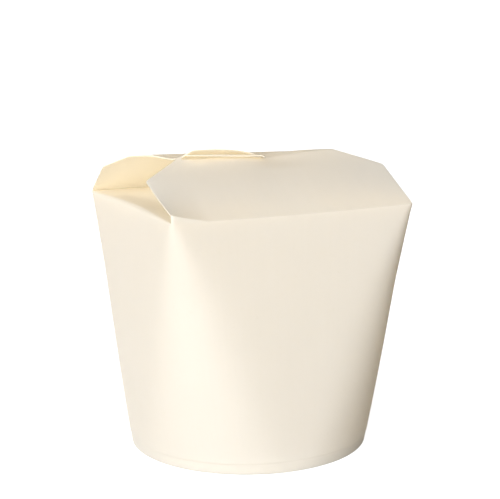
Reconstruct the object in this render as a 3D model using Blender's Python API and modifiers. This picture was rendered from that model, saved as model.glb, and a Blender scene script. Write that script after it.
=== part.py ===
"""Closed noodle takeaway box of cream paper board.

A round base opens out to a nearly square rim. Two side flaps lie flat on the
rim, and over them a front and a back flap rise to a low roof, where the back
flap's tongue comes up through a slot near the front flap's edge.

Metres, +Z up. The front wall faces -Y. The origin is at the centre of the
base, on the surface that the box stands on.
"""

import math

import bmesh
import bpy
from mathutils import Vector

MM = 0.001

# Board
BOARD = 0.5 * MM
GAP = 0.3 * MM

# Walls: round at the base, nearly square at the rim
RIM_HEIGHT = 100.0 * MM
RIM_HALF_WIDTH = 50.5 * MM
RIM_HALF_DEPTH = 46.0 * MM
RIM_CORNER = 1.6 * MM
BASE_RADIUS = 48.2 * MM
CORNER_STEPS = 14

# Foot: the crimped ring that holds the base disc above the table
CRIMP_HEIGHT = 4.6 * MM
CRIMP_TUCK = 0.35 * MM
CRIMP_LIP = 0.5 * MM
FOOT_RING = 1.5 * MM
DISC_STEPS = 96

# Side flaps, flat on the rim
SIDE_FLAP_REACH = 45.0 * MM
SIDE_FLAP_ROOT = 43.6 * MM
SIDE_FLAP_TIP = 33.0 * MM
SIDE_FLAP_BEVEL = 12.0 * MM

# How far a flap's sheet runs into the wall below its crease
FLAP_ANCHOR = 1.2 * MM

# Front flap: a sloping panel that ends in a lip, with the slot between them
FRONT_SLOPE = math.radians(26.6)
FRONT_SIDE_LENGTH = 27.6 * MM
FRONT_SHOULDER_LENGTH = 40.4 * MM
FRONT_SHOULDER_HALF = 34.0 * MM
LIP_WIDTH = 4.6 * MM
LIP_SLOPE = math.radians(8.0)
LIP_LEFT = -29.5 * MM
LIP_RIGHT = 12.0 * MM
SLOT_LEFT = -31.5 * MM
SLOT_RIGHT = 3.6 * MM
SLOT_WIDTH = 0.6 * MM
ARCH_PEAK = -22.0 * MM
ARCH_RISE = 3.9 * MM
ARCH_FAR_SHARE = 0.5
PANEL_SAG = 1.2 * MM
PANEL_SAG_PLACE = 2.0 * MM
PANEL_SAG_LEFT = 25.0 * MM
PANEL_SAG_RIGHT = 15.0 * MM

# Back flap: steeper, then bent level at a crest, and drawn out to a tongue
BACK_SLOPE_LEFT = math.radians(35.2)
BACK_SLOPE_RIGHT = math.radians(29.8)
BACK_SIDE_LENGTH = 21.2 * MM
BACK_CREST_LENGTH = 29.0 * MM
BACK_CREST_HALF = 41.2 * MM
BACK_SHOULDER_LENGTH = 32.0 * MM
BACK_SHOULDER_HALF = 33.0 * MM
BACK_END_HALF = 29.5 * MM
BACK_END_Y = -8.0 * MM
BACK_END_HEIGHT = 114.8 * MM
TONGUE_RIGHT = 2.6 * MM
TONGUE_SLIT = 0.7 * MM
TONGUE_SLIT_START_Y = 2.0 * MM
TONGUE_RISE_START = 0.5
TONGUE_TIP_Y = -12.4 * MM
TONGUE_TIP_HEIGHT = 119.7 * MM
TONGUE_TIP_DROP = 1.5 * MM

CARTON_COLOUR = (0.84, 0.78, 0.67, 1.0)
DISC_COLOUR = (0.86, 0.80, 0.69, 1.0)
BOARD_ROUGHNESS = 0.55


def lerp(start, end, share):
    """Value a share of the way from start to end."""
    return start + (end - start) * share


def smooth(value, start, end):
    """0 below start, 1 above end, with an S-shaped rise between them."""
    share = min(1.0, max(0.0, (value - start) / (end - start)))
    return share * share * (3.0 - 2.0 * share)


def along(value, stations):
    """Read a piecewise straight line, given as (position, value) pairs."""
    for (x0, y0), (x1, y1) in zip(stations, stations[1:]):
        if value <= x1:
            return lerp(y0, y1, (value - x0) / (x1 - x0))
    return stations[-1][1]


def clear_scene():
    """Remove every object that the file starts with."""
    for obj in list(bpy.data.objects):
        bpy.data.objects.remove(obj, do_unlink=True)


def new_collection(name):
    """Make a collection under the scene's own."""
    collection = bpy.data.collections.new(name)
    bpy.context.scene.collection.children.link(collection)
    return collection


def board_material(name, colour):
    """Matt paper board of one colour."""
    material = bpy.data.materials.new(name)
    material.use_nodes = True
    shader = material.node_tree.nodes["Principled BSDF"]
    shader.inputs["Base Color"].default_value = colour
    shader.inputs["Roughness"].default_value = BOARD_ROUGHNESS
    shader.inputs["Metallic"].default_value = 0.0
    material.diffuse_color = colour
    return material


def object_from(name, mesh_builder, collection):
    """Turn a bmesh into a linked object."""
    mesh = bpy.data.meshes.new(name)
    mesh_builder.to_mesh(mesh)
    mesh_builder.free()
    obj = bpy.data.objects.new(name, mesh)
    collection.objects.link(obj)
    return obj


def wall_section(height, inset=0.0):
    """Outline of the walls at a height.

    The walls are one bent sheet. At each height the outline is a rectangle
    whose corners have a radius that shrinks evenly from the base's to the
    rim's.
    """
    share = height / RIM_HEIGHT
    corner = lerp(BASE_RADIUS, RIM_CORNER, share) - inset
    centre_x = share * (RIM_HALF_WIDTH - RIM_CORNER)
    centre_y = share * (RIM_HALF_DEPTH - RIM_CORNER)
    points = []
    for quarter, (side_x, side_y) in enumerate(((1, 1), (-1, 1), (-1, -1), (1, -1))):
        for step in range(CORNER_STEPS + 1):
            angle = math.pi / 2 * (quarter + step / CORNER_STEPS)
            x = side_x * centre_x + corner * math.cos(angle)
            y = side_y * centre_y + corner * math.sin(angle)
            points.append(Vector((x, y, height)))
    return points


def make_walls(collection):
    """Solid body of the box: a loft from the round base to the rim."""
    sections = (
        wall_section(0.0, CRIMP_TUCK),
        wall_section(CRIMP_HEIGHT - CRIMP_LIP, CRIMP_TUCK),
        wall_section(CRIMP_HEIGHT),
        wall_section(RIM_HEIGHT - BOARD),
    )
    builder = bmesh.new()
    rings = [[builder.verts.new(point) for point in section] for section in sections]
    for lower, upper in zip(rings, rings[1:]):
        count = len(lower)
        for index in range(count):
            following = (index + 1) % count
            builder.faces.new((lower[index], lower[following], upper[following], upper[index]))
    builder.faces.new(list(reversed(rings[0])))
    builder.faces.new(rings[-1])
    bmesh.ops.remove_doubles(builder, verts=builder.verts, dist=GAP / 100)
    bmesh.ops.recalc_face_normals(builder, faces=builder.faces)
    return object_from("carton", builder, collection)


def make_sheet(name, rows, columns, place, holes, collection):
    """Thin bent sheet: a grid whose corners are placed by a function.

    rows are the distances from the crease, columns the shares across, and
    holes(row, column) tells which cells are left open.
    """
    builder = bmesh.new()
    grid = [[builder.verts.new(place(share, distance)) for share in columns] for distance in rows]
    for row in range(len(rows) - 1):
        for column in range(len(columns) - 1):
            if holes(row, column):
                continue
            builder.faces.new((grid[row][column], grid[row][column + 1],
                               grid[row + 1][column + 1], grid[row + 1][column]))
    sheet = object_from(name, builder, collection)
    thickness = sheet.modifiers.new("board", "SOLIDIFY")
    thickness.thickness = BOARD
    thickness.offset = -1.0
    return sheet


def front_bounds(distance):
    """Left and right edges of the front flap at a distance from its crease."""
    half = along(distance, ((-FLAP_ANCHOR, RIM_HALF_WIDTH - RIM_CORNER), (0.0, RIM_HALF_WIDTH - BOARD),
                            (FRONT_SIDE_LENGTH, RIM_HALF_WIDTH),
                            (FRONT_SHOULDER_LENGTH, FRONT_SHOULDER_HALF)))
    if distance <= FRONT_SHOULDER_LENGTH + SLOT_WIDTH:
        return -half, half
    share = (distance - FRONT_SHOULDER_LENGTH - SLOT_WIDTH) / LIP_WIDTH
    return lerp(-half, LIP_LEFT, share), lerp(half, LIP_RIGHT, share)


def front_place(share, distance):
    """Point on the front flap's outer face."""
    left, right = front_bounds(distance)
    across = lerp(left, right, share)
    panel = min(distance, FRONT_SHOULDER_LENGTH)
    lip = distance - panel
    y = -RIM_HALF_DEPTH + panel * math.cos(FRONT_SLOPE) + lip * math.cos(LIP_SLOPE)
    z = RIM_HEIGHT + panel * math.sin(FRONT_SLOPE) + lip * math.sin(LIP_SLOPE)
    if distance < 0.0:
        y = -RIM_HALF_DEPTH + BOARD
        z = RIM_HEIGHT + distance
    reach = PANEL_SAG_LEFT if across < PANEL_SAG_PLACE else PANEL_SAG_RIGHT
    bow = math.exp(-((across - PANEL_SAG_PLACE) / reach) ** 2)
    z -= PANEL_SAG * bow * smooth(distance, FRONT_SIDE_LENGTH, FRONT_SHOULDER_LENGTH)
    if lip > 0.0:
        z += ARCH_RISE * arch(across) * lerp(1.0, ARCH_FAR_SHARE, lip / (LIP_WIDTH + SLOT_WIDTH))
    return Vector((across, y, z))


def arch(across):
    """How far the lip is lifted by the tongue, as a share of the peak."""
    if across <= ARCH_PEAK:
        return smooth(across, SLOT_LEFT, ARCH_PEAK)
    return 1.0 - smooth(across, ARCH_PEAK, SLOT_RIGHT)


def make_front_flap(collection):
    """Front flap with its slot and lip."""
    shoulder = FRONT_SHOULDER_LENGTH
    lip_start = shoulder + SLOT_WIDTH
    rows = [-FLAP_ANCHOR, 0.0, FRONT_SIDE_LENGTH, lerp(FRONT_SIDE_LENGTH, shoulder, 0.5), shoulder,
            lip_start, lip_start + LIP_WIDTH / 2, lip_start + LIP_WIDTH]
    width = 2 * FRONT_SHOULDER_HALF
    slot_start = (SLOT_LEFT + FRONT_SHOULDER_HALF) / width
    slot_end = (SLOT_RIGHT + FRONT_SHOULDER_HALF) / width
    slot_cells, side_cells = 14, 8
    columns = [0.0, slot_start]
    columns += [lerp(slot_start, slot_end, step / slot_cells) for step in range(1, slot_cells + 1)]
    columns += [lerp(slot_end, 1.0, step / side_cells) for step in range(1, side_cells + 1)]
    slot_row = rows.index(shoulder)

    def in_slot(row, column):
        return row == slot_row and 1 <= column <= slot_cells

    return make_sheet("front flap", rows, columns, front_place, in_slot, collection)


def back_half(distance):
    """Half the width of the back flap at a distance from its crease."""
    return along(distance, ((-FLAP_ANCHOR, RIM_HALF_WIDTH - RIM_CORNER), (0.0, RIM_HALF_WIDTH - BOARD),
                            (BACK_SIDE_LENGTH, RIM_HALF_WIDTH),
                            (BACK_CREST_LENGTH, BACK_CREST_HALF),
                            (BACK_SHOULDER_LENGTH, BACK_SHOULDER_HALF),
                            (back_length(TONGUE_SLIT_START_Y), BACK_END_HALF)))


def back_length(y):
    """Distance from the crease at which the level part of the back flap reaches y."""
    crest_y = RIM_HALF_DEPTH - BACK_CREST_LENGTH * math.cos(BACK_SLOPE_LEFT)
    return BACK_CREST_LENGTH + crest_y - y


def back_place(share, distance):
    """Point on the back flap's outer face."""
    half = back_half(distance)
    across = lerp(-half, half, share)
    turn = smooth(across, -RIM_HALF_WIDTH, RIM_HALF_WIDTH)
    slope = lerp(BACK_SLOPE_LEFT, BACK_SLOPE_RIGHT, turn)
    if distance < 0.0:
        return Vector((across, RIM_HALF_DEPTH - BOARD, RIM_HEIGHT + distance))
    panel = min(distance, BACK_CREST_LENGTH)
    y = RIM_HALF_DEPTH - panel * math.cos(slope)
    z = RIM_HEIGHT + panel * math.sin(slope)
    if distance > BACK_CREST_LENGTH:
        drawn = (distance - BACK_CREST_LENGTH) / (back_length(TONGUE_TIP_Y) - BACK_CREST_LENGTH)
        y = lerp(y, TONGUE_TIP_Y, drawn)
        z = lerp(z, back_end_height(across), smooth(drawn, TONGUE_RISE_START, 1.0))
    return Vector((across, y, z))


def back_end_height(across):
    """Height that the back flap rises to: the tongue's end, or the part under the front flap."""
    if across > TONGUE_RIGHT + TONGUE_SLIT / 2:
        return BACK_END_HEIGHT
    return TONGUE_TIP_HEIGHT - TONGUE_TIP_DROP * smooth(across, -BACK_END_HALF, TONGUE_RIGHT)


def make_back_flap(collection):
    """Back flap, from its crease over the crest to the end of the tongue."""
    slit_start = back_length(TONGUE_SLIT_START_Y)
    end = back_length(BACK_END_Y)
    tip = back_length(TONGUE_TIP_Y)
    rows = [-FLAP_ANCHOR, 0.0, BACK_SIDE_LENGTH, BACK_CREST_LENGTH, BACK_SHOULDER_LENGTH]
    rows += [lerp(BACK_SHOULDER_LENGTH, slit_start, step / 3) for step in (1, 2, 3)]
    rows += [lerp(slit_start, end, step / 4) for step in (1, 2, 3, 4)]
    rows += [lerp(end, tip, step / 2) for step in (1, 2)]
    slit_row, end_row = rows.index(slit_start), rows.index(end)
    tongue_share = (TONGUE_RIGHT + BACK_END_HALF) / (2 * BACK_END_HALF)
    slit_share = tongue_share + TONGUE_SLIT / (2 * BACK_END_HALF)
    tongue_cells, side_cells = 9, 7
    columns = [tongue_share * step / tongue_cells for step in range(tongue_cells + 1)]
    columns += [lerp(slit_share, 1.0, step / side_cells) for step in range(side_cells + 1)]

    def cut_away(row, column):
        in_slit = column == tongue_cells and row >= slit_row
        past_end = column > tongue_cells and row >= end_row
        return in_slit or past_end

    sheet = make_sheet("back flap", rows, columns, back_place, cut_away, collection)
    sheet.modifiers["board"].offset = 1.0
    return sheet


def make_side_flap(side, collection):
    """Flat flap from a side wall's rim, tapered towards the middle of the box."""
    builder = bmesh.new()
    rim = RIM_HALF_WIDTH - RIM_CORNER
    outline = ((rim, -SIDE_FLAP_ROOT), (rim, SIDE_FLAP_ROOT),
               (rim - SIDE_FLAP_REACH + SIDE_FLAP_BEVEL, SIDE_FLAP_TIP),
               (rim - SIDE_FLAP_REACH, SIDE_FLAP_TIP - SIDE_FLAP_BEVEL),
               (rim - SIDE_FLAP_REACH, -SIDE_FLAP_TIP + SIDE_FLAP_BEVEL),
               (rim - SIDE_FLAP_REACH + SIDE_FLAP_BEVEL, -SIDE_FLAP_TIP))
    lower = [builder.verts.new((side * x, y, RIM_HEIGHT - 2 * BOARD)) for x, y in outline]
    face = builder.faces.new(lower)
    raised = bmesh.ops.extrude_face_region(builder, geom=[face])
    moved = [item for item in raised["geom"] if isinstance(item, bmesh.types.BMVert)]
    bmesh.ops.translate(builder, verts=moved, vec=(0.0, 0.0, 2 * BOARD))
    bmesh.ops.recalc_face_normals(builder, faces=builder.faces)
    return object_from("side flap", builder, collection)


def cylinder(name, radius, low, high, collection):
    """Upright closed cylinder between two heights."""
    builder = bmesh.new()
    bmesh.ops.create_cone(builder, cap_ends=True, segments=DISC_STEPS,
                          radius1=radius, radius2=radius, depth=high - low)
    bmesh.ops.translate(builder, verts=builder.verts, vec=(0.0, 0.0, (low + high) / 2))
    return object_from(name, builder, collection)


def add_cutter(target, cutter, operation):
    """Boolean modifier of one cutter on a target."""
    cutter.hide_render = True
    cutter.display_type = "WIRE"
    boolean = target.modifiers.new(cutter.name, "BOOLEAN")
    boolean.object = cutter
    boolean.operation = operation
    boolean.solver = "EXACT"


def make_carton(parts, cutters):
    """The folded sheet: walls, foot ring and all four flaps as one solid."""
    carton = make_walls(parts)
    recess_radius = BASE_RADIUS - CRIMP_TUCK - FOOT_RING
    recess = cylinder("foot recess", recess_radius, -BOARD, CRIMP_HEIGHT + BOARD + GAP, cutters)
    add_cutter(carton, recess, "DIFFERENCE")
    for side in (-1, 1):
        add_cutter(carton, make_side_flap(side, cutters), "UNION")
    add_cutter(carton, make_back_flap(cutters), "UNION")
    add_cutter(carton, make_front_flap(cutters), "UNION")
    carton.data.materials.append(board_material("cream board", CARTON_COLOUR))
    return carton


def make_base_disc(parts):
    """Round board that closes the base, held above the table by the foot ring."""
    radius = BASE_RADIUS - CRIMP_TUCK - FOOT_RING - GAP
    disc = cylinder("base_disc", radius, CRIMP_HEIGHT, CRIMP_HEIGHT + BOARD, parts)
    disc.data.materials.append(board_material("base board", DISC_COLOUR))
    return disc


def shade(obj):
    """Smooth shading on the round stretches, sharp at the folds."""
    obj.data.shade_smooth()
    obj.data.set_sharp_from_angle(angle=math.radians(30.0))


def main():
    """Build the box."""
    clear_scene()
    parts = new_collection("noodle takeaway box")
    cutters = new_collection("cutters")
    for obj in (make_carton(parts, cutters), make_base_disc(parts)):
        shade(obj)


main()
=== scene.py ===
"""Looks of a closed noodle takeaway box of cream paper board.

The box is one folded sheet: walls that turn from a round foot to a nearly
square rim, two side flaps that lie on the rim, and a front and a back flap
that meet in a low roof. The back flap's tongue comes up through a slot near
the front flap's edge. A round board closes the base inside the rolled foot.
"""

import logging
import math
from dataclasses import dataclass, field
from enum import Enum
from typing import Callable, Iterator

import bmesh
import bpy
from mathutils import Matrix, Vector


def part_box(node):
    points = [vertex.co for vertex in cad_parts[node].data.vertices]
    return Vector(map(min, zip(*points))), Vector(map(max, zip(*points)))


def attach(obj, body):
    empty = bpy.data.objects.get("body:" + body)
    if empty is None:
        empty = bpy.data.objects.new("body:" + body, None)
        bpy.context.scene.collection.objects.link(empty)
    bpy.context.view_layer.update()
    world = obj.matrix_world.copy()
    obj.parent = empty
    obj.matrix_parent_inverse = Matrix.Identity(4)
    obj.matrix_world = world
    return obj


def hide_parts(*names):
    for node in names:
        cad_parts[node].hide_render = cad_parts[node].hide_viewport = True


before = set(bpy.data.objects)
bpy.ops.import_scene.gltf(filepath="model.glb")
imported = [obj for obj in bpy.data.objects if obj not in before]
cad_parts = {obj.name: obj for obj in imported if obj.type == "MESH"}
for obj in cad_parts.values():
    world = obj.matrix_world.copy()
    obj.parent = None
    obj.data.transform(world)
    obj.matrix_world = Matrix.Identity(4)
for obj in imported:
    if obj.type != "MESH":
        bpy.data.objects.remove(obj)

LOG = logging.getLogger("noodle_box")
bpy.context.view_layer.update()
MM = 0.001
BODY = "root"
SHEET_UV = "sheet"
SHARP_ANGLE = math.radians(55.0)
Socket = bpy.types.NodeSocket
Corners = list[bmesh.types.BMVert]
Flat = list[tuple[float, float]]
Layer = tuple[list[Vector], Flat, Callable[[int], bool]]
CORNER_RUN = 3.0 * MM  # how far from a crease a flap's edge takes up the rim's rounded corner
NEAR = 1e-6


def lerp(start: float, end: float, share: float) -> float:
    """Value a share of the way from start to end."""
    return start + (end - start) * share


def smooth(value: float, start: float, end: float) -> float:
    """0 before start, 1 after end, with an S-shaped rise between them."""
    share = min(1.0, max(0.0, (value - start) / (end - start)))
    return share * share * (3.0 - 2.0 * share)


def bell(offset: float, width: float) -> float:
    """1 at no offset, falling off on both sides over about a width."""
    return math.exp(-(offset / width) ** 2)


def steps(start: float, end: float, count: int) -> list[float]:
    """Evenly spaced values after start, up to and with end."""
    return [lerp(start, end, step / count) for step in range(1, count + 1)]


def eased_line(value: float, stations: list[tuple[float, float]], ease: float) -> float:
    """Read a line of straight stretches whose corners are rounded.

    Args:
        value: Where to read it.
        stations: (position, value) pairs, in order.
        ease: Half the length over which each corner is rounded.

    Returns:
        The line's value there.
    """
    slopes = [(y1 - y0) / (x1 - x0) for (x0, y0), (x1, y1) in zip(stations, stations[1:])]
    place = 0
    while place < len(slopes) - 1 and value > stations[place + 1][0]:
        place += 1
    result = stations[place][1] + slopes[place] * (value - stations[place][0])
    for index in (place, place + 1):
        if 0 < index < len(stations) - 1 and abs(value - stations[index][0]) < ease:
            inner = ease - abs(value - stations[index][0])
            result += (slopes[index] - slopes[index - 1]) * inner ** 2 / (4.0 * ease)
    return result


class Side(Enum):
    """The four sides of the box, counted round from the front, seen from above."""

    FRONT = 0
    RIGHT = 1
    BACK = 2
    LEFT = 3


class Face(Enum):
    """Material places on a sheet: its two faces and its cut edge."""

    OUTER = 0
    INNER = 1
    CUT = 2


@dataclass(frozen=True)
class NodeMaker:
    """Adds shader nodes and links them, with few words.

    Attributes:
        tree: The node tree that the nodes go into.
    """

    tree: bpy.types.NodeTree

    def add(self, kind: str, values: dict[str | int, object] | None = None,
            **settings: object) -> bpy.types.Node:
        """Add a node.

        Args:
            kind: The node's type.
            values: What its inputs get: a socket to link, or a constant.
            **settings: Properties of the node itself.

        Returns:
            The new node.
        """
        node = self.tree.nodes.new(kind)
        for name, setting in settings.items():
            setattr(node, name, setting)
        for name, value in (values or {}).items():
            socket = node.inputs[name]
            if isinstance(value, Socket):
                self.tree.links.new(value, socket)
            else:
                socket.default_value = value
        return node

    def math(self, operation: str, first: object, second: object = 0.0, third: object = 0.0) -> Socket:
        """Add a math node and return its result."""
        node = self.add("ShaderNodeMath", {0: first, 1: second, 2: third}, operation=operation)
        return node.outputs[0]

    def noise(self, vector: Socket, scale: float, detail: float, roughness: float = 0.5,
              distortion: float = 0.0, **settings: object) -> Socket:
        """Add a noise texture and return its value."""
        values = {"Vector": vector, "Scale": scale, "Detail": detail, "Roughness": roughness,
                  "Distortion": distortion}
        return self.add("ShaderNodeTexNoise", values, **settings).outputs[0]

    def ramp(self, value: Socket, start: float, end: float, last: float = 1.0,
             **settings: object) -> Socket:
        """Add a ramp from 0 at start to last at end, and return its value."""
        values = {"Value": value, "From Min": start, "From Max": end, "To Max": last}
        return self.add("ShaderNodeMapRange", values, clamp=True, **settings).outputs[0]

    def joined(self, x: object, y: object, z: object = 0.0) -> Socket:
        """Add a node that joins three numbers to a vector, and return the vector."""
        return self.add("ShaderNodeCombineXYZ", {0: x, 1: y, 2: z}).outputs[0]


CLOUD_SCALE = 70.0
SWELL_SCALE = 55.0
FIBRE_SCALE = 2600.0
STREAK_SCALE = (650.0, 14.0, 1.0)
FLECK_SCALE = 900.0
FLECK_START, FLECK_FULL, FLECK_SHADE = 0.63, 0.78, -0.035
BLUE_POWER = 1.4
CLOUD_GLOSS, FIBRE_GLOSS = -0.10, 0.12

# The inner face's painted glow: an emission that stands in for warm light let into the roof through the thin
# board.
# It comes in with the height, from LOW to HIGH. It also comes in towards the back, from FRONT to BACK,
# or at a share of its strength downwards, from ROOF to FLAP.
PAINTED_GLOW_LOW = 95.0 * MM
PAINTED_GLOW_HIGH = 100.0 * MM
PAINTED_GLOW_FRONT = -22.0 * MM
PAINTED_GLOW_BACK = -8.0 * MM
PAINTED_GLOW_FLAP = 102.0 * MM
PAINTED_GLOW_ROOF = 107.0 * MM
PAINTED_GLOW_FLAP_SHARE = 0.5


@dataclass(frozen=True)
class BoardFinish:
    """Finish of one face of the paper board.

    Attributes:
        name: Name of the material.
        colour: Mean colour, linear.
        roughness: Mean roughness.
        mottle: How far the colour varies from cloud to cloud, as a share.
        streak: How far the colour varies between the streaks along the sheet.
        fibre: Height of the pressed fibres.
        cockle: Height of the sheet's slow waves.
        glow: Share of the light that goes through the board.
        glow_colour: Colour of the light that goes through.
        painted_glow: Strength of the painted glow inside the roof, an emission standing in for light that
            thin board lets in all round.
        painted_glow_colour: Colour of that painted glow.
    """

    name: str
    colour: tuple[float, float, float]
    roughness: float = 0.5
    mottle: float = 0.03
    streak: float = 0.02
    fibre: float = 0.012 * MM
    cockle: float = 0.05 * MM
    glow: float = 0.18
    glow_colour: tuple[float, float, float] = (1.0, 0.95, 0.85)
    painted_glow: float = 0.0
    painted_glow_colour: tuple[float, float, float] = (1.0, 0.80, 0.46)

    def material(self) -> bpy.types.Material:
        """Build the material.

        Returns:
            A material whose pattern follows the sheet's own lengths.
        """
        material = bpy.data.materials.new(self.name)
        material.use_nodes = True
        material.node_tree.nodes.clear()
        nodes = NodeMaker(material.node_tree)
        place = nodes.add("ShaderNodeTexCoord").outputs["Object"]
        sheet = nodes.add("ShaderNodeUVMap", uv_map=SHEET_UV).outputs["UV"]

        clouds = nodes.noise(place, CLOUD_SCALE, 4.0, 0.55)
        fibres = nodes.noise(place, FIBRE_SCALE, 3.0, 0.6)
        swell = nodes.noise(place, SWELL_SCALE, 1.0)
        drawn = nodes.add("ShaderNodeMapping", {"Vector": sheet, "Scale": STREAK_SCALE}).outputs[0]
        streaks = nodes.noise(drawn, 1.0, 3.0, noise_dimensions="2D")
        flecks = nodes.noise(place, FLECK_SCALE, 2.0, distortion=0.6)

        cloud_part = nodes.math("MULTIPLY_ADD", clouds, self.mottle, 1.0 - self.mottle / 2)
        streak_part = nodes.math("MULTIPLY_ADD", streaks, self.streak, -self.streak / 2)
        lightness = nodes.math("ADD", nodes.math("ADD", cloud_part, streak_part),
                               nodes.ramp(flecks, FLECK_START, FLECK_FULL, FLECK_SHADE))
        tint = nodes.add("ShaderNodeCombineColor", {
            "Red": nodes.math("MULTIPLY", lightness, self.colour[0]),
            "Green": nodes.math("MULTIPLY", lightness, self.colour[1]),
            "Blue": nodes.math("MULTIPLY", nodes.math("POWER", lightness, BLUE_POWER), self.colour[2])})

        even = self.roughness - (CLOUD_GLOSS + FIBRE_GLOSS) / 2.0
        gloss = nodes.math("MULTIPLY_ADD", fibres, FIBRE_GLOSS,
                           nodes.math("MULTIPLY_ADD", clouds, CLOUD_GLOSS, even))
        slow = nodes.add("ShaderNodeBump", {"Height": swell, "Distance": self.cockle})
        fine = nodes.add("ShaderNodeBump", {"Height": fibres, "Distance": self.fibre,
                                            "Normal": slow.outputs[0]})
        board = nodes.add("ShaderNodeBsdfPrincipled", {
            "Base Color": tint.outputs[0], "Roughness": gloss, "Normal": fine.outputs[0]})
        # Painted glow: the face emits warm light under the roof, standing in for light coming through the
        # board.
        if self.painted_glow > 0.0:
            board.inputs["Emission Color"].default_value = (*self.painted_glow_colour, 1.0)
            nodes.tree.links.new(self.painted_glow_strength(nodes, place), board.inputs["Emission Strength"])
        through = nodes.add("ShaderNodeBsdfTranslucent", {"Color": (*self.glow_colour, 1.0)})
        mixed = nodes.add("ShaderNodeMixShader", {0: self.glow, 1: board.outputs[0], 2: through.outputs[0]})
        nodes.add("ShaderNodeOutputMaterial", {"Surface": mixed.outputs[0]})
        material.diffuse_color = (*self.colour, 1.0)
        return material

    def painted_glow_strength(self, nodes: NodeMaker, place: Socket) -> Socket:
        """Strength of the painted glow, an emission standing in for light inside the roof, by the place
        there.

        Args:
            nodes: Maker of the material's nodes.
            place: The surface's place on the box.

        Returns:
            The strength.
        """
        spot = nodes.add("ShaderNodeSeparateXYZ", {"Vector": place}).outputs
        high = nodes.ramp(spot["Z"], PAINTED_GLOW_LOW, PAINTED_GLOW_HIGH)
        behind = nodes.ramp(spot["Y"], PAINTED_GLOW_FRONT, PAINTED_GLOW_BACK)
        under = nodes.ramp(spot["Z"], PAINTED_GLOW_ROOF, PAINTED_GLOW_FLAP, PAINTED_GLOW_FLAP_SHARE)
        # Mask of the painted glow: high up, and towards the back or under the roof.
        glow_mask = nodes.math("MULTIPLY", high, nodes.math("MAXIMUM", behind, under))
        return nodes.math("MULTIPLY", glow_mask, self.painted_glow / (1.0 - self.glow))


OUTER_FACE = BoardFinish("cream board outside", (0.93, 0.915, 0.87), roughness=0.42, glow=0.42)
# The inner face carries a painted glow: an emission standing in for light let into the roof through the
# board.
INNER_FACE = BoardFinish("cream board inside with painted glow", (0.98, 0.95, 0.87), roughness=0.58, streak=0.012, glow=0.7,
                         painted_glow=0.165)
CUT_EDGE = BoardFinish("cut board edge", (0.93, 0.86, 0.72), roughness=0.75, mottle=0.06, streak=0.04,
                       fibre=0.03 * MM)
BASE_BOARD = BoardFinish("base board", (0.86, 0.80, 0.69), roughness=0.5)


def nowhere(column: int) -> bool:
    """Leave no column open."""
    return False


@dataclass
class SheetMesh:
    """Collects the faces of a bent sheet, with their place on the flat sheet.

    Attributes:
        name: Name of the piece.
        thickness: Thickness of the board.
        builder: Where the faces are collected.
    """

    name: str
    thickness: float
    builder: bmesh.types.BMesh = field(default_factory=bmesh.new)

    def __post_init__(self) -> None:
        """Add the layer that holds the sheet's own lengths."""
        self.lengths = self.builder.loops.layers.uv.new(SHEET_UV)

    def row(self, points: list[Vector]) -> Corners:
        """Add a row of corners."""
        return [self.builder.verts.new(point) for point in points]

    def strip(self, lower: Corners, upper: Corners, lower_flat: Flat, upper_flat: Flat,
              skip: Callable[[int], bool] = nowhere) -> None:
        """Add the faces between two rows.

        Args:
            lower: Corners of the first row.
            upper: Corners of the second row, which lies above the first seen from outside.
            lower_flat: The first row's places on the flat sheet.
            upper_flat: The second row's places on the flat sheet.
            skip: Tells which columns are left open.
        """
        for column in range(len(lower) - 1):
            if skip(column):
                continue
            corners = (lower[column], lower[column + 1], upper[column + 1], upper[column])
            flats = (lower_flat[column], lower_flat[column + 1], upper_flat[column + 1], upper_flat[column])
            face = self.builder.faces.new(corners)
            face.smooth = True
            for loop, flat in zip(face.loops, flats):
                loop[self.lengths].uv = flat

    def finish(self, finishes: dict[Face, BoardFinish]) -> bpy.types.Object:
        """Give the sheet its thickness and its finishes.

        Args:
            finishes: The finish of each face of the board.

        Returns:
            The finished object, at the origin, with plain mesh data.
        """
        mesh = bpy.data.meshes.new(self.name)
        self.builder.to_mesh(mesh)
        self.builder.free()
        obj = added(self.name, mesh)
        for face in Face:
            mesh.materials.append(finishes[face].material())
        board = thickened(obj, self.thickness)
        board.material_offset = Face.INNER.value
        board.material_offset_rim = Face.CUT.value
        result = plain(obj)
        result.data.set_sharp_from_angle(angle=SHARP_ANGLE)
        return result


def added(name: str, data: bpy.types.ID) -> bpy.types.Object:
    """Put an object with its data into the scene."""
    obj = bpy.data.objects.new(name, data)
    bpy.context.scene.collection.objects.link(obj)
    return obj


def thickened(obj: bpy.types.Object, thickness: float) -> bpy.types.Modifier:
    """Give a sheet its board's thickness, on the side that its faces look away from."""
    board = obj.modifiers.new("board", "SOLIDIFY")
    board.thickness = thickness
    board.offset = -1.0
    return board


def plain(obj: bpy.types.Object) -> bpy.types.Object:
    """Turn an object with modifiers into one with plain mesh data.

    Args:
        obj: The object, which is removed.

    Returns:
        A new object of the same name, with no modifiers.
    """
    name = obj.name
    graph = bpy.context.evaluated_depsgraph_get()
    mesh = bpy.data.meshes.new_from_object(obj.evaluated_get(graph), preserve_all_data_layers=True,
                                           depsgraph=graph)
    bpy.data.objects.remove(obj, do_unlink=True)
    mesh.name = name
    return added(name, mesh)


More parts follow.
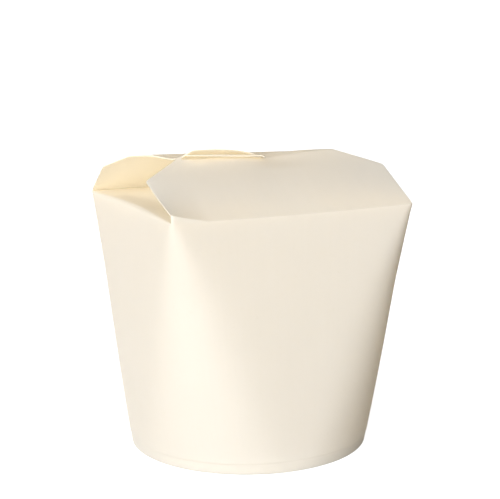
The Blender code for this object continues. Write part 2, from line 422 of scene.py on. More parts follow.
@dataclass
class Walls:
    """The four walls: round at the foot, nearly square at the rim.

    Attributes:
        rim_height: Height of the rim.
        half_width: Half the width at the rim.
        half_depth: Half the depth at the rim.
        rim_corner: Radius of the rim's corners.
        foot_radius: Radius of the walls' outline at the table.
        belly_width: How far the side walls stand out at half height.
        belly_depth: How far the front and back walls stand out there.
        belly_corner: How much rounder the corners are there.
        soft_length: How far a corner's bend runs out into the flat walls, at most.
        soft_share: The same as a share of the corner's radius, at most.
        crimp_height: Height of the line where the foot is pressed in.
        crimp_tuck: How far it is pressed in.
        roll: Radius of the fold at the rim, front and back.
        side_roll: The same at the middle of a side wall.
        side_bow: How far the middle of a side wall's fold stands up.
        front_dip: How far the middle of the front fold dips.
        bow_start: Height from which the wall follows its fold's bow.
        lap_depth: Step of the glued lap in the back wall.
        lap_place: Where the lap's edge is, as a share of the back wall from its right end.
        lap_fade: Over how much of the back wall the step fades out.
        lap_low: Height from which the step fades out towards the rim.
        lap_high: Height at which it has gone.
        column_step: Width of the sheet's cells at the rim.
        row_step: Their height.
    """

    rim_height: float = 100.0 * MM
    half_width: float = 50.5 * MM
    half_depth: float = 46.0 * MM
    rim_corner: float = 1.6 * MM
    foot_radius: float = 48.18 * MM
    belly_width: float = 0.9 * MM
    belly_depth: float = 0.35 * MM
    belly_corner: float = 0.5 * MM
    soft_length: float = 14.0 * MM
    soft_share: float = 0.75
    crimp_height: float = 4.6 * MM
    crimp_tuck: float = 0.15 * MM
    roll: float = 0.4 * MM
    side_roll: float = 2.2 * MM
    side_bow: float = 1.0 * MM
    front_dip: float = 0.6 * MM
    bow_start: float = 70.0 * MM
    lap_depth: float = 0.4 * MM
    lap_place: float = 0.64
    lap_fade: float = 0.12
    lap_low: float = 92.0 * MM
    lap_high: float = 99.0 * MM
    column_step: float = 1.25 * MM
    row_step: float = 2.0 * MM

    def belly(self, share: float) -> float:
        """How much of the walls' swell there is at a share of the height."""
        return max(0.0, math.sin(math.pi * share)) ** 1.5

    def corner(self, share: float) -> float:
        """Radius of the corners at a share of the height."""
        return lerp(self.foot_radius, self.rim_corner, share) + self.belly_corner * self.belly(share)

    def centres(self, share: float) -> tuple[float, float]:
        """Half lengths of the straight stretches at a share of the height."""
        belly, corner = self.belly(share), self.corner(share)
        return (lerp(self.foot_radius, self.half_width, share) + self.belly_width * belly - corner,
                lerp(self.foot_radius, self.half_depth, share) + self.belly_depth * belly - corner)

    def side_length(self, side: Side, height: float) -> float:
        """Length of one side's outline, from the middle of one corner to the middle of the next."""
        share = height / self.rim_height
        corner = self.corner(share)
        straight = self.centres(share)[side.value % 2]
        return 2.0 * straight + corner * math.pi / 2.0

    def soft_reach(self, share: float) -> float:
        """How far along the outline the bend of a corner runs out into the flat walls."""
        return min(self.soft_length * math.sqrt(self.belly(share)), self.soft_share * self.corner(share))

    def plain_point(self, side: Side, distance: float, height: float, inset: float) -> Vector:
        """Point on the outline of straight stretches and round corners.

        Args:
            side: Which wall.
            distance: Length along the outline from the wall's middle.
            height: Height above the table.
            inset: How far inside the outline the point lies.

        Returns:
            The point, on the next wall if the distance leads there.
        """
        half = self.side_length(side, height) / 2.0
        if abs(distance) > half:
            turn = 1 if distance > 0.0 else -1
            following = Side((side.value + turn) % 4)
            start = self.side_length(following, height) / 2.0
            return self.plain_point(following, turn * (abs(distance) - half - start), height, inset)
        share = min(1.0, height / self.rim_height)
        corner = self.corner(share)
        straight = self.centres(share)[side.value % 2]
        other = self.centres(share)[1 - side.value % 2]
        turned = max(0.0, abs(distance) - straight) / corner
        radius = corner - inset
        along = math.copysign(min(abs(distance), straight) + radius * math.sin(turned), distance)
        return turn_to_side(side, along, other + radius * math.cos(turned), height)

    def point(self, side: Side, across: float, height: float, inset: float = 0.0) -> Vector:
        """Point on the walls' outer face, where the corners run softly into the flat walls.

        Args:
            side: Which wall.
            across: Share of the wall's width, from its left end seen from outside.
            height: Height above the table.
            inset: How far inside the plain outline the point lies.

        Returns:
            The point.
        """
        distance = (across - 0.5) * self.side_length(side, height)
        reach = self.soft_reach(min(1.0, height / self.rim_height))
        if reach < 0.01 * MM:
            return self.plain_point(side, distance, height, inset)
        total = Vector()
        for place in range(-3, 4):
            weight = (4 - abs(place)) / 16.0
            total += weight * self.plain_point(side, distance + reach * place / 3.0, height, inset)
        return total

    def rim_point(self, side: Side, across: float) -> Vector:
        """Point on the rim at a share of a wall's width."""
        return self.point(side, across, self.rim_height)

    def rim_share(self, side: Side, along: float) -> float:
        """Share of the wall's width at which the rim has an along-the-wall place."""
        return 0.5 + along / self.side_length(side, self.rim_height)

    def end_share(self, side: Side) -> float:
        """Share of the wall's width that the half corner takes at the rim."""
        return self.rim_corner * math.pi / 4.0 / self.side_length(side, self.rim_height)

    def columns(self, side: Side, wanted: list[float]) -> list[float]:
        """Shares across one wall at which the sheet has its columns.

        Args:
            side: Which wall.
            wanted: Shares that must be among them.

        Returns:
            The shares, from 0 to 1.
        """
        end = self.end_share(side)
        fixed = sorted([0.0, end, *wanted, 1.0 - end, 1.0])
        width = self.side_length(side, self.rim_height)
        shares = [0.0]
        for start, stop in zip(fixed, fixed[1:]):
            in_corner = stop <= end or start >= 1.0 - end
            cells = max(1, round((stop - start) * width / self.column_step))
            shares += steps(start, stop, 3 if in_corner else cells)
        return shares

    def bow(self, side: Side, across: float) -> float:
        """How far the rim's fold stands up, or dips, between the corners."""
        if side is Side.BACK:
            return 0.0
        if side is Side.FRONT:
            return -self.front_dip * math.sin(math.pi * across) ** 0.7
        return self.side_bow * (math.sin(math.pi * across) ** 1.5)

    def roll_radius(self, side: Side, across: float) -> float:
        """Radius of the fold at the rim."""
        if side in (Side.FRONT, Side.BACK):
            return self.roll
        return lerp(self.roll, self.side_roll, math.sin(math.pi * across) ** 0.7)

    def lap(self, side: Side, across: float) -> float:
        """How far the under layer of the glued lap lies inside the plain outline."""
        if side is not Side.BACK or across < self.lap_place:
            return 0.0
        return self.lap_depth * (1.0 - smooth(across, self.lap_place, self.lap_place + self.lap_fade))

    def inset_at(self, side: Side, across: float, height: float) -> float:
        """How far the foot's crimp and the rim's fold bring the sheet in."""
        above = smooth(height, self.crimp_height - 0.5 * MM, self.crimp_height + 0.3 * MM)
        crimp = self.crimp_tuck * (1.0 - above)
        radius = self.roll_radius(side, across)
        rise = max(0.0, height - (self.rim_height - radius))
        rolled = radius - math.sqrt(max(0.0, radius ** 2 - rise ** 2))
        lap = self.lap(side, across) * smooth(height, 0.0, self.crimp_height)
        return crimp + rolled + lap * (1.0 - smooth(height, self.lap_low, self.lap_high))

    def outer_point(self, side: Side, across: float, height: float) -> Vector:
        """Point on the finished walls, with the crimp, the lap and the rim's fold."""
        point = self.point(side, across, height, self.inset_at(side, across, height))
        point.z += self.bow(side, across) * smooth(height, self.bow_start, self.rim_height) ** 2
        return point


def turn_to_side(side: Side, along: float, out: float, height: float) -> Vector:
    """Place a point that is given along and out from one side of the box."""
    if side is Side.FRONT:
        return Vector((along, -out, height))
    if side is Side.RIGHT:
        return Vector((out, along, height))
    if side is Side.BACK:
        return Vector((-along, out, height))
    return Vector((-out, -along, height))


@dataclass
class Flap:
    """A flap of the sheet, laid row by row from the wall's last row on.

    Attributes:
        walls: The walls that it hangs on.
    """

    walls: Walls

    def wanted_columns(self) -> list[float]:
        """Shares across the wall at which the flap needs a column."""
        return []

    def layers(self, columns: list[float]) -> Iterator[Layer]:
        """Give the flap's rows, after a first one that only says where the rim lies on the flat sheet.

        Args:
            columns: The shares across the wall of the rim's corners.

        Yields:
            Points, their places on the flat sheet, and which columns stay open below them.
        """
        raise NotImplementedError

    def add_to(self, sheet: SheetMesh, rim: Corners, columns: list[float]) -> None:
        """Add the flap's faces above the wall's last row.

        Args:
            sheet: The sheet that the flap belongs to.
            rim: Corners of the wall's last row on this side.
            columns: The shares across the wall of those corners.
        """
        layers = self.layers(columns)
        _, lower_flat, _ = next(layers)
        lower = rim
        for points, flat, skip in layers:
            upper = sheet.row(points)
            sheet.strip(lower, upper, lower_flat, flat, skip)
            lower, lower_flat = upper, flat


@dataclass
class FrontFlap(Flap):
    """The front flap: a sloping panel, a slot and a lip that the tongue lifts."""

    slope_left: float = math.radians(26.2)
    slope_right: float = math.radians(27.4)
    side_length: float = 27.6 * MM
    shoulder_length: float = 40.4 * MM
    shoulder_half: float = 34.0 * MM
    corner_ease: float = 0.9 * MM
    crown: float = 1.1 * MM
    facet_rise: float = 2.9 * MM
    facet_reach: float = 15.0 * MM
    lip_width: float = 4.6 * MM
    lip_slope: float = math.radians(8.0)
    lip_left: float = -29.5 * MM
    lip_right: float = 12.0 * MM
    slot_left: float = -31.5 * MM
    slot_right: float = 3.6 * MM
    slot_width: float = 0.6 * MM
    lip_rise: float = 3.78 * MM
    rise_start: float = -34.3 * MM
    rise_full: float = -25.5 * MM
    fall_start: float = -24.0 * MM
    fall_end: float = 4.2 * MM
    sag: float = 1.15 * MM
    sag_place: float = 5.0 * MM
    sag_left: float = 8.0 * MM
    sag_right: float = 13.0 * MM

    def bounds(self, distance: float) -> tuple[float, float]:
        """Left and right edges at a distance from the crease."""
        corner = self.walls.rim_point(Side.FRONT, 1.0).x
        stations = [(0.0, corner), (self.side_length, self.walls.half_width),
                    (self.shoulder_length, self.shoulder_half)]
        half = eased_line(min(distance, self.shoulder_length), stations, self.corner_ease)
        start = self.shoulder_length + self.slot_width
        if distance <= start:
            return -half, half
        share = (distance - start) / self.lip_width
        return lerp(-half, self.lip_left, share), lerp(half, self.lip_right, share)

    def lift(self, across: float) -> float:
        """How far the tongue lifts the lip's near edge."""
        if across < self.fall_start:
            return self.lip_rise * smooth(across, self.rise_start, self.rise_full)
        share = min(1.0, (across - self.fall_start) / (self.fall_end - self.fall_start))
        return self.lip_rise * (1.0 - share ** 2.2)

    def place(self, share: float, distance: float) -> Vector:
        """Point on the outer face.

        Args:
            share: Share across, from the left edge.
            distance: Distance along the sheet from the crease.

        Returns:
            The point.
        """
        left, right = self.bounds(distance)
        across = lerp(left, right, share)
        panel = min(distance, self.shoulder_length)
        beyond = distance - panel
        slope = lerp(self.slope_left, self.slope_right, smooth(across, 0.0, self.walls.half_width))
        y = -self.walls.half_depth + panel * math.cos(slope) + beyond * math.cos(self.lip_slope)
        z = self.walls.rim_height + panel * math.sin(slope)
        z += self.walls.bow(Side.FRONT, share) * (1.0 - smooth(distance, 0.0, self.side_length))
        end_corner = self.walls.rim_point(Side.FRONT, share).y + self.walls.half_depth
        y += end_corner * (1.0 - smooth(distance, 0.0, CORNER_RUN))
        z += self.crown * math.sin(math.pi * panel / self.shoulder_length) * math.sin(math.pi * share) ** 0.5
        z += self.facet(across) * max(0.0, 1.0 - distance / self.side_length) ** 1.5
        reach = self.sag_left if across < self.sag_place else self.sag_right
        z -= (self.sag * bell(across - self.sag_place, reach)
              * smooth(distance, self.side_length, self.shoulder_length))
        if beyond > 0.0:
            z += beyond * math.sin(self.lip_slope)
            z += self.lift(across) * (1.0 - beyond / (self.lip_width + self.slot_width))
        return Vector((across, y, z))

    def facet(self, across: float) -> float:
        """Height of the small facet between wall and flap at the left corner."""
        from_left = across + self.walls.half_width
        return self.facet_rise * max(0.0, 1.0 - from_left / self.facet_reach) ** 1.25

    def wanted_columns(self) -> list[float]:
        """Shares across the front wall that line up with the slot's ends."""
        width = 2.0 * self.shoulder_half
        corner = self.walls.rim_point(Side.FRONT, 1.0).x
        return [self.walls.rim_share(Side.FRONT, lerp(-corner, corner, (end + self.shoulder_half) / width))
                for end in (self.slot_left, self.slot_right)]

    def layers(self, columns: list[float]) -> Iterator[Layer]:
        """Give the flap's rows: the crease, the facet at the left corner, the panel and the lip."""
        corner = self.walls.rim_point(Side.FRONT, 1.0).x
        crease = [self.walls.rim_point(Side.FRONT, share) for share in columns]
        for point, share in zip(crease, columns):
            point.z += self.walls.bow(Side.FRONT, share)
        shares = [(point.x + corner) / (2.0 * corner) for point in crease]
        slot_cells = [index for index, share in enumerate(shares)
                      if self.slot_left - NEAR <= lerp(-self.shoulder_half, self.shoulder_half, share)
                      < self.slot_right - 10.0 * NEAR]
        first = 0.3 * MM
        rows = [("crease", 0.0), ("facet", 0.25), ("facet", 0.5), ("facet", 0.75)]
        panel = [first, 0.6 * MM, 1.0 * MM, 1.8 * MM, 3.0 * MM]
        panel += steps(panel[-1], self.side_length - 1.5 * MM, 16)
        panel += steps(panel[-1], self.side_length + 1.5 * MM, 4)
        panel += steps(panel[-1], self.shoulder_length, 10)
        slot_row = len(rows) + len(panel) - 1
        panel.append(self.shoulder_length + self.slot_width)
        panel += steps(panel[-1], self.shoulder_length + self.slot_width + self.lip_width, 6)
        rows += [("panel", distance) for distance in panel]
        yield [], [(point.x, self.walls.rim_height - self.walls.roll) for point in crease], nowhere
        for index, (kind, value) in enumerate(rows):
            if kind == "panel":
                points = [self.place(share, value) for share in shares]
                flat = [(point.x, self.walls.rim_height + value + self.facet_rise) for point in points]
            else:
                points = [start.lerp(self.place(share, first), value) for start, share in zip(crease, shares)]
                flat = [(point.x, point.z) for point in points]
            yield points, flat, (lambda column: column in slot_cells) if index == slot_row + 1 else nowhere


@dataclass
class BackFlap(Flap):
    """The back flap: a steep panel, a crest, a level part and the tongue."""

    slope_left: float = math.radians(35.2)
    slope_right: float = math.radians(29.8)
    side_length: float = 21.2 * MM
    crest_length: float = 29.0 * MM
    crest_half: float = 41.2 * MM
    shoulder_length: float = 32.0 * MM
    shoulder_half: float = 33.0 * MM
    corner_ease: float = 0.5 * MM
    crest_ease: float = 0.8 * MM
    end_half: float = 29.5 * MM
    end_y: float = -8.0 * MM
    end_height: float = 114.8 * MM
    tongue_right: float = 2.6 * MM
    slit: float = 0.7 * MM
    slit_start_y: float = 2.0 * MM
    rise_start: float = 0.45
    rise_end_right: float = 0.72
    tip_y: float = -12.4 * MM
    tip_height: float = 119.8 * MM
    tip_drop: float = 1.7 * MM
    tip_corner_drop: float = 0.7 * MM

    def length_at(self, y: float) -> float:
        """Distance from the crease at which the level part reaches y."""
        crest_y = self.walls.half_depth - self.crest_length * math.cos(self.slope_left)
        return self.crest_length + crest_y - y

    def half(self, distance: float) -> float:
        """Half the width at a distance from the crease."""
        corner = abs(self.walls.rim_point(Side.BACK, 1.0).x)
        stations = [(0.0, corner), (self.side_length, self.walls.half_width),
                    (self.crest_length, self.crest_half), (self.shoulder_length, self.shoulder_half),
                    (self.length_at(self.slit_start_y), self.end_half),
                    (self.length_at(self.tip_y) + MM, self.end_half)]
        return eased_line(distance, stations, self.corner_ease)

    def end_level(self, across: float) -> float:
        """Height that the sheet rises to at its end."""
        if across > self.tongue_right + self.slit / 2:
            return self.end_height
        fall = self.tip_drop * smooth(across, -self.end_half - 4.0 * MM, self.tongue_right)
        corner = self.tip_corner_drop * smooth(across, self.tongue_right - 1.6 * MM, self.tongue_right)
        return self.tip_height - fall - corner

    def place(self, share: float, distance: float) -> Vector:
        """Point on the outer face.

        Args:
            share: Share across, from the -X edge.
            distance: Distance along the sheet from the crease.

        Returns:
            The point.
        """
        half = self.half(distance)
        across = lerp(-half, half, share)
        slope = lerp(self.slope_left, self.slope_right,
                     smooth(across, -self.walls.half_width, self.walls.half_width))
        panel = distance
        level = 0.0
        if distance > self.crest_length - self.crest_ease:
            past = distance - self.crest_length
            inner = min(2.0 * self.crest_ease, past + self.crest_ease)
            level = inner ** 2 / (4.0 * self.crest_ease) + max(0.0, past - self.crest_ease)
            panel = distance - level
        end_corner = self.walls.half_depth - self.walls.rim_point(Side.BACK, share).y
        y = self.walls.half_depth - panel * math.cos(slope)
        y -= end_corner * (1.0 - smooth(distance, 0.0, CORNER_RUN))
        z = self.walls.rim_height + panel * math.sin(slope)
        if level > 0.0:
            drawn = level / (self.length_at(self.tip_y) - self.crest_length)
            y = lerp(y, self.tip_y, drawn)
            rise_end = lerp(1.0, self.rise_end_right, smooth(across, -22.0 * MM, -8.0 * MM))
            z = lerp(z, self.end_level(across), smooth(drawn, self.rise_start, rise_end))
        return Vector((across, y, z))

    def wanted_columns(self) -> list[float]:
        """Shares across the back wall that line up with the slit beside the tongue."""
        corner = abs(self.walls.rim_point(Side.BACK, 1.0).x)
        wanted = []
        for edge in (self.tongue_right, self.tongue_right + self.slit):
            share = (edge + self.end_half) / (2.0 * self.end_half)
            wanted.append(self.walls.rim_share(Side.BACK, -lerp(-corner, corner, share)))
        step = 0.02 * MM / self.walls.side_length(Side.BACK, self.walls.rim_height)
        return [*wanted, self.walls.lap_place - step, self.walls.lap_place]

    def layers(self, columns: list[float]) -> Iterator[Layer]:
        """Give the flap's rows: the panel, the crest, the level part and the tongue."""
        crease = [self.walls.rim_point(Side.BACK, share) for share in columns]
        corner = abs(crease[-1].x)
        shares = [(point.x + corner) / (2.0 * corner) for point in crease]
        slit_start, end, tip = (self.length_at(y) for y in (self.slit_start_y, self.end_y, self.tip_y))
        rows = [0.0, 0.3 * MM, 0.7 * MM, 1.4 * MM, 3.0 * MM]
        rows += steps(rows[-1], self.side_length - 1.5 * MM, 10)
        rows += steps(rows[-1], self.side_length + 1.5 * MM, 4)
        rows += steps(rows[-1], self.crest_length - self.crest_ease, 4)
        rows += steps(rows[-1], self.crest_length + self.crest_ease, 5)
        rows += steps(rows[-1], self.shoulder_length + 1.5 * MM, 3)
        rows += steps(rows[-1], slit_start, 10)
        slit_row = len(rows)
        rows += steps(rows[-1], end, 8)
        end_row = len(rows)
        rows += steps(rows[-1], tip, 5)
        yield [], [(-point.x, self.walls.rim_height - self.walls.roll) for point in crease], nowhere
        for index, distance in enumerate(rows):
            points = [self.place(share, distance) for share in shares]
            flat = [(-point.x, self.walls.rim_height + distance) for point in points]

            def cut_away(column: int) -> bool:
                """Tell whether a column of this row lies in the slit or past the sheet's end."""
                middle = (points[column].x + points[column + 1].x) / 2.0
                in_slit = index >= slit_row and self.tongue_right < middle < self.tongue_right + self.slit
                return in_slit or (index >= end_row and middle > self.tongue_right)

            yield points, flat, cut_away


@dataclass
class SideFlap(Flap):
    """A side flap: it rolls over the rim, dips a little and rises to the back flap."""

    side: Side
    reach: float = 45.0 * MM
    root_half: float = 45.0 * MM
    tip_half: float = 43.6 * MM
    bevel: float = 12.0 * MM
    dip: float = 0.5 * MM
    dip_reach: float = 16.0 * MM
    rise: float = 1.0 * MM
    rise_end: float = 24.0 * MM

    def height(self, share: float, distance: float) -> float:
        """Height of the outer face at a distance inside the rim."""
        bow = self.walls.bow(self.side, share)
        radius = self.walls.roll_radius(self.side, share)
        top = self.walls.rim_height + bow
        if distance < radius:
            return top - radius + math.sqrt(radius ** 2 - (radius - distance) ** 2)
        sunk = smooth(distance, radius, self.dip_reach)
        middle = math.sin(math.pi * share) ** 0.6
        level = lerp(top, self.walls.rim_height - self.dip * middle, sunk)
        return level + self.rise * middle * smooth(distance, 4.0 * MM, self.rise_end)

    def half(self, distance: float) -> float:
        """Half the flap's width at a distance inside the rim."""
        corner = self.walls.half_depth - self.walls.rim_corner * (1.0 - math.sqrt(0.5))
        return eased_line(distance, [(0.0, corner), (1.5 * MM, self.root_half),
                                     (self.reach - self.bevel, self.tip_half),
                                     (self.reach, self.tip_half - self.bevel)], 0.6 * MM)

    def layers(self, columns: list[float]) -> Iterator[Layer]:
        """Give the flap's rows: the fold's arc and the flap inside the rim."""
        walls = self.walls
        total = walls.side_length(self.side, walls.rim_height)
        half_corner = walls.half_depth - walls.rim_corner * (1.0 - math.sqrt(0.5))
        shares = []
        for share in columns:
            point = walls.rim_point(self.side, share)
            along = point.y if self.side is Side.RIGHT else -point.y
            shares.append((along + half_corner) / (2.0 * half_corner))
        rows = [("arc", share) for share in steps(0.0, 1.0, 4)]
        inside = [2.2 * MM, 3.0 * MM, 4.0 * MM]
        inside += steps(inside[-1], self.reach - self.bevel, 18)
        inside += steps(inside[-1], self.reach, 8)
        rows += [("flat", distance) for distance in inside]
        yield [], [(share * total, walls.rim_height - walls.roll) for share in columns], nowhere
        for kind, value in rows:
            points, flat = [], []
            for column, share in zip(columns, shares):
                radius = walls.roll_radius(self.side, column)
                if kind == "arc":
                    start = radius - math.sqrt(max(0.0, radius ** 2 - (radius - walls.roll) ** 2))
                    distance = lerp(start, radius, value ** 1.6)
                else:
                    distance = value
                along = lerp(-self.half(distance), self.half(distance), share)
                end_corner = walls.half_width - abs(walls.rim_point(self.side, column).x)
                inward = distance + end_corner * (1.0 - smooth(distance, 0.0, CORNER_RUN))
                points.append(turn_to_side(self.side, along, walls.half_width - inward,
                                           self.height(column, distance)))
                flat.append((along + total / 2.0, walls.rim_height + distance))
            yield points, flat, nowhere


@dataclass
class Foot:
    """The rolled foot: the sheet turned under and up again inside, with pressed marks."""

    walls: Walls
    board: float
    fold_radius: float = 0.5 * MM
    hem_height: float = 4.2 * MM
    marks: int = 150
    mark_depth: float = 0.16 * MM
    mark_low: float = 1.2 * MM
    mark_high: float = 3.6 * MM

    def fold_rows(self) -> list[tuple[float, float]]:
        """(inset, height) of the turned foot, from inside to the outer face's start."""
        rows = []
        for step in range(9):
            angle = math.pi * step / 8
            rows.append((self.fold_radius * (1.0 + math.cos(angle)),
                         self.fold_radius * (1.0 - math.sin(angle))))
        return rows

    def build(self) -> bpy.types.Object:
        """Build the hem's band by Geometry Nodes: a circle swept, then pressed in a rhythm.

        Returns:
            The finished band, with plain mesh data.
        """
        outer = self.walls.foot_radius - self.walls.crimp_tuck
        radius = outer - 2.0 * self.fold_radius
        tree = bpy.data.node_groups.new("pressed hem", "GeometryNodeTree")
        for name, kind in (("Radius", "Float"), ("Low", "Float"), ("High", "Float"), ("Marks", "Int"),
                           ("Depth", "Float"), ("Finish", "Material")):
            tree.interface.new_socket(name, in_out="INPUT", socket_type="NodeSocket" + kind)
        tree.interface.new_socket("Geometry", in_out="OUTPUT", socket_type="NodeSocketGeometry")
        nodes = NodeMaker(tree)
        given = nodes.add("NodeGroupInput").outputs
        around = nodes.math("MULTIPLY", given["Marks"], 8.0)
        circle = nodes.add("GeometryNodeCurvePrimitiveCircle", {"Resolution": around,
                                                                "Radius": given["Radius"]})
        ends = {end: nodes.joined(0.0, nodes.math("MULTIPLY", given[level], -1.0))
                for end, level in (("Start", "Low"), ("End", "High"))}
        line = nodes.add("GeometryNodeCurvePrimitiveLine", ends)
        profile = nodes.add("GeometryNodeResampleCurve", {"Curve": line.outputs[0], "Count": 14})
        band = nodes.add("GeometryNodeCurveToMesh", {"Curve": circle.outputs[0],
                                                     "Profile Curve": profile.outputs[0]})
        position = nodes.add("ShaderNodeSeparateXYZ", {0: nodes.add("GeometryNodeInputPosition").outputs[0]})
        angle = nodes.math("ARCTAN2", position.outputs[1], position.outputs[0])
        wave = nodes.math("COSINE", nodes.math("MULTIPLY", angle, given["Marks"]))
        ridge = nodes.math("POWER", nodes.math("MULTIPLY_ADD", wave, 0.5, 0.5), 2.0)
        middle = (self.mark_low + self.mark_high) / 2.0
        reach = (self.mark_high - self.mark_low) / 2.0
        height = nodes.math("ABSOLUTE", nodes.math("SUBTRACT", position.outputs[2], middle))
        inside = nodes.ramp(height, reach, reach * 0.6, interpolation_type="SMOOTHSTEP")
        press = nodes.math("MULTIPLY", nodes.math("MULTIPLY", ridge, inside), given["Depth"])
        inward = nodes.math("DIVIDE", nodes.math("MULTIPLY", press, -1.0), given["Radius"])
        flat = nodes.joined(position.outputs[0], position.outputs[1])
        offset = nodes.add("ShaderNodeVectorMath", {0: flat, "Scale": inward}, operation="SCALE")
        pressed = nodes.add("GeometryNodeSetPosition", {"Geometry": band.outputs[0],
                                                        "Offset": offset.outputs[0]})
        realized = nodes.add("GeometryNodeRealizeInstances", {"Geometry": pressed.outputs[0]})
        finished = nodes.add("GeometryNodeSetMaterial", {"Geometry": realized.outputs[0],
                                                         "Material": given["Finish"]})
        nodes.add("NodeGroupOutput", {"Geometry": finished.outputs[0]})

        obj = added("foot_hem", bpy.data.meshes.new("foot_hem"))
        modifier = obj.modifiers.new("pressed hem", "NODES")
        modifier.node_group = tree
        values = {"Radius": radius, "Low": self.fold_radius, "High": self.hem_height, "Marks": self.marks,
                  "Depth": self.mark_depth, "Finish": OUTER_FACE.material()}
        for item in tree.interface.items_tree:
            if item.in_out == "INPUT":
                modifier[item.identifier] = values[item.name]
        hem = plain(obj)
        face_inward(hem)
        thickened(hem, self.board)
        return plain(hem)


def face_inward(obj: bpy.types.Object) -> None:
    """Turn the faces of a ring round the Z axis so that they look at the axis."""
    builder = bmesh.new()
    builder.from_mesh(obj.data)
    bmesh.ops.remove_doubles(builder, verts=builder.verts, dist=NEAR)
    for face in builder.faces:
        face.smooth = True
        centre = face.calc_center_median()
        if face.normal.x * centre.x + face.normal.y * centre.y > 0.0:
            face.normal_flip()
    builder.to_mesh(obj.data)
    builder.free()


@dataclass
class BaseDisc:
    """The round board of the base, with a pressed ring near its edge."""

    walls: Walls
    board: float
    low: float
    ring_radius: float = 38.0 * MM
    ring_width: float = 1.6 * MM
    ring_depth: float = 0.35 * MM
    segments: int = 128
    foot_ring: float = 1.5 * MM
    gap: float = 0.3 * MM

    def build(self) -> bpy.types.Object:
        """Build the disc as a turned sheet.

        Returns:
            The finished disc.
        """
        radius = self.walls.foot_radius - self.walls.crimp_tuck - self.foot_ring - self.gap
        radii = [0.0, *steps(0.0, self.ring_radius - 4.0 * MM, 8)]
        radii += steps(radii[-1], self.ring_radius + 4.0 * MM, 16)
        radii += steps(radii[-1], radius, 3)
        sheet = SheetMesh("base_disc_board", self.board)
        rows = []
        for distance in radii[1:]:
            rise = self.ring_depth * bell(distance - self.ring_radius, self.ring_width)
            angles = [math.tau * index / self.segments for index in range(self.segments)]
            rows.append(sheet.row([Vector((distance * math.cos(angle), distance * math.sin(angle),
                                           self.low + rise)) for angle in angles]))
        centre = sheet.builder.verts.new((0.0, 0.0, self.low))
        for index in range(self.segments):
            following = (index + 1) % self.segments
            fan = sheet.builder.faces.new((centre, rows[0][following], rows[0][index]))
            fan.smooth = True
            for loop in fan.loops:
                loop[sheet.lengths].uv = loop.vert.co.xy
        for inner, outer in zip(rows, rows[1:]):
            closed_inner, closed_outer = [*inner, inner[0]], [*outer, outer[0]]
            sheet.strip(closed_outer, closed_inner, [vert.co.xy for vert in closed_outer],
                        [vert.co.xy for vert in closed_inner])
        bmesh.ops.recalc_face_normals(sheet.builder, faces=sheet.builder.faces)
        if sheet.builder.faces[0].normal.z > 0.0:
            bmesh.ops.reverse_faces(sheet.builder, faces=sheet.builder.faces)
        return sheet.finish({Face.OUTER: BASE_BOARD, Face.INNER: INNER_FACE, Face.CUT: CUT_EDGE})


@dataclass
class Carton:
    """The whole folded sheet."""

    board: float = 0.45 * MM
    walls: Walls = field(default_factory=Walls)

    def build(self) -> bpy.types.Object:
        """Build walls and flaps as one sheet.

        Returns:
            The finished sheet.
        """
        walls = self.walls
        flaps: dict[Side, Flap] = {Side.FRONT: FrontFlap(walls), Side.BACK: BackFlap(walls),
                                   Side.LEFT: SideFlap(walls, Side.LEFT),
                                   Side.RIGHT: SideFlap(walls, Side.RIGHT)}
        columns = {side: walls.columns(side, flaps[side].wanted_columns()) for side in Side}
        ring = [(side, share) for side in Side for share in columns[side][:-1]]
        sheet = SheetMesh("carton_sheet", self.board)
        flat_x = self.flat_places(ring)

        foot = Foot(walls, self.board)
        lower, lower_flat = None, None
        rows: list[Callable[[Side, float], Vector]] = []
        flat_rows = []
        for inset, height in foot.fold_rows():
            rows.append(lambda side, share, i=inset, h=height:
                        walls.point(side, share, h, walls.crimp_tuck + i))
            flat_rows.append(height - inset * 2.0)
        heights = steps(foot.fold_radius, walls.crimp_height - 0.6 * MM, 3)
        heights += steps(walls.crimp_height - 0.6 * MM, walls.crimp_height + 0.4 * MM, 5)
        heights += steps(heights[-1], walls.lap_low, round((walls.lap_low - heights[-1]) / walls.row_step))
        heights += steps(heights[-1], walls.rim_height - 2.0 * MM, 4)
        heights += steps(heights[-1], walls.rim_height - walls.roll, 5)
        for height in heights:
            rows.append(lambda side, share, h=height: walls.outer_point(side, share, h))
            flat_rows.append(height)
        for make_point, flat_z in zip(rows, flat_rows):
            verts = sheet.row([make_point(side, share) for side, share in ring])
            upper = [*verts, verts[0]]
            upper_flat = [(x, flat_z) for x in flat_x]
            if lower is not None:
                sheet.strip(lower, upper, lower_flat, upper_flat)
            lower, lower_flat = upper, upper_flat
        start = 0
        for side in Side:
            count = len(columns[side])
            flaps[side].add_to(sheet, lower[start:start + count], columns[side])
            start += count - 1
        return sheet.finish({Face.OUTER: OUTER_FACE, Face.INNER: INNER_FACE, Face.CUT: CUT_EDGE})

    def flat_places(self, ring: list[tuple[Side, float]]) -> list[float]:
        """Lengths round the flat sheet at half height, with the closing column's at the end."""
        walls = self.walls
        places, start = [], 0.0
        for side in Side:
            length = walls.side_length(side, walls.rim_height)
            places += [start + share * length for own, share in ring if own is side]
            start += length
        return [*places, start]


@dataclass(frozen=True)
class SoftLight:
    """A broad soft light far from the box.

    Attributes:
        azimuth: Where it stands, in degrees: 0 in front of the box, negative towards its left.
        elevation: Height above the horizon, in degrees.
        strength: Brightness at its middle.
        focus: How fast the brightness falls off from the middle.
    """

    azimuth: float
    elevation: float
    strength: float
    focus: float = 8.0

    def direction(self) -> Vector:
        """Direction from the box to the light."""
        azimuth, elevation = math.radians(self.azimuth), math.radians(self.elevation)
        level = math.cos(elevation)
        return Vector((math.sin(azimuth) * level, -math.cos(azimuth) * level, math.sin(elevation)))


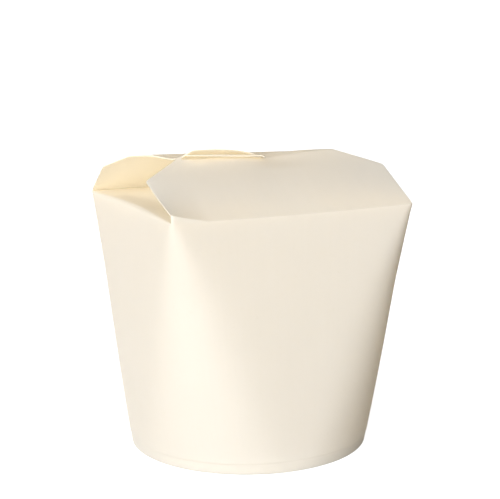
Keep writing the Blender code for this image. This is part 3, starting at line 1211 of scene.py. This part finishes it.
@dataclass
class Studio:
    """Plain floor, soft light and the camera at the photo's viewing angle."""

    focal: float = 97.79
    distance: float = 550.0 * MM
    azimuth: float = math.radians(24.38)
    elevation: float = math.radians(10.92)
    roll: float = math.radians(-0.45)
    target: tuple[float, float, float] = (1.2 * MM, -0.54 * MM, 78.34 * MM)
    floor_radius: float = 30.0
    floor_glow: float = 0.75
    fill: float = 0.07
    lights: tuple[SoftLight, ...] = (SoftLight(-32.0, 5.0, 2.65), SoftLight(-25.0, 30.0, 1.0),
                                     SoftLight(-50.0, 5.0, 1.7), SoftLight(-50.0, 30.0, 1.5),
                                     SoftLight(-95.0, 15.0, 1.4), SoftLight(-30.0, 60.0, 0.5),
                                     SoftLight(172.0, -30.0, 3.0))

    def camera(self) -> None:
        """Make the camera."""
        data = bpy.data.cameras.new("camera")
        data.lens = self.focal
        data.sensor_width = 36.0
        data.clip_start = 0.01
        data.clip_end = 200.0
        back = Vector((-math.sin(self.azimuth) * math.cos(self.elevation),
                       -math.cos(self.azimuth) * math.cos(self.elevation), math.sin(self.elevation)))
        right = Vector((math.cos(self.azimuth), -math.sin(self.azimuth), 0.0))
        up = back.cross(right)
        turned_right = right * math.cos(self.roll) + up * math.sin(self.roll)
        turned_up = up * math.cos(self.roll) - right * math.sin(self.roll)
        camera = added("camera", data)
        camera.location = Vector(self.target) + back * self.distance
        camera.rotation_mode = "QUATERNION"
        camera.rotation_quaternion = Matrix((turned_right, turned_up, back)).transposed().to_quaternion()
        bpy.context.scene.camera = camera

    def floor(self) -> None:
        """Make the pale floor."""
        builder = bmesh.new()
        bmesh.ops.create_circle(builder, cap_ends=True, radius=self.floor_radius, segments=96)
        mesh = bpy.data.meshes.new("floor")
        builder.to_mesh(mesh)
        builder.free()
        floor = added("floor", mesh)
        material = bpy.data.materials.new("white paper floor")
        material.use_nodes = True
        shader = material.node_tree.nodes["Principled BSDF"]
        for name, value in (("Base Color", (0.9, 0.9, 0.9, 1.0)), ("Roughness", 0.9),
                            ("Emission Color", (1.0, 1.0, 1.0, 1.0)), ("Emission Strength", self.floor_glow)):
            shader.inputs[name].default_value = value
        mesh.materials.append(material)
        for kind in ("diffuse", "glossy", "transmission", "shadow"):
            setattr(floor, "visible_" + kind, False)

    def sky(self) -> None:
        """Surround the box with the soft lights and the light that the floor throws back."""
        world = bpy.data.worlds.new("studio")
        world.use_nodes = True
        world.node_tree.nodes.clear()
        bpy.context.scene.world = world
        nodes = NodeMaker(world.node_tree)
        towards = nodes.add("ShaderNodeTexCoord").outputs["Generated"]
        strength = self.fill
        for light in self.lights:
            facing = nodes.add("ShaderNodeVectorMath", {0: towards, 1: light.direction()},
                               operation="DOT_PRODUCT")
            lobe = nodes.math("POWER", nodes.math("MAXIMUM", facing.outputs["Value"], 0.0), light.focus)
            strength = nodes.math("MULTIPLY_ADD", lobe, light.strength, strength)
        seen = nodes.add("ShaderNodeLightPath").outputs["Is Camera Ray"]
        shown = nodes.math("ADD", seen, nodes.math("MULTIPLY", nodes.math("SUBTRACT", 1.0, seen), strength))
        background = nodes.add("ShaderNodeBackground", {"Color": (1.0, 1.0, 1.0, 1.0), "Strength": shown})
        nodes.add("ShaderNodeOutputWorld", {"Surface": background.outputs[0]})

    def build(self) -> None:
        """Make the stage, the light and the camera, and show plain tones."""
        self.camera()
        self.floor()
        self.sky()
        bpy.context.scene.view_settings.view_transform = "Standard"
        bpy.context.scene.view_settings.look = "None"


def dress(piece: bpy.types.Object, slot: str, *nodes: str) -> None:
    """Tie a piece to the body and report it.

    Args:
        piece: The finished piece.
        slot: The record's material slot of its finish; not used.
        *nodes: CAD nodes that it stands for.
    """
    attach(piece, BODY)
    if nodes:
        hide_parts(*nodes)
    piece.data.calc_loop_triangles()
    LOG.info("%s: %d triangles", piece.name, len(piece.data.loop_triangles))


def main() -> None:
    """Build the box and its studio."""
    logging.basicConfig(level=logging.INFO, format="%(message)s")
    Studio().build()
    carton = Carton()
    dress(carton.build(), "carton_board", "carton")
    dress(Foot(carton.walls, carton.board).build(), "carton_board")
    disc = BaseDisc(carton.walls, carton.board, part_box("base_disc")[0].z)
    dress(disc.build(), "base_board", "base_disc")


if __name__ == "__main__":
    main()
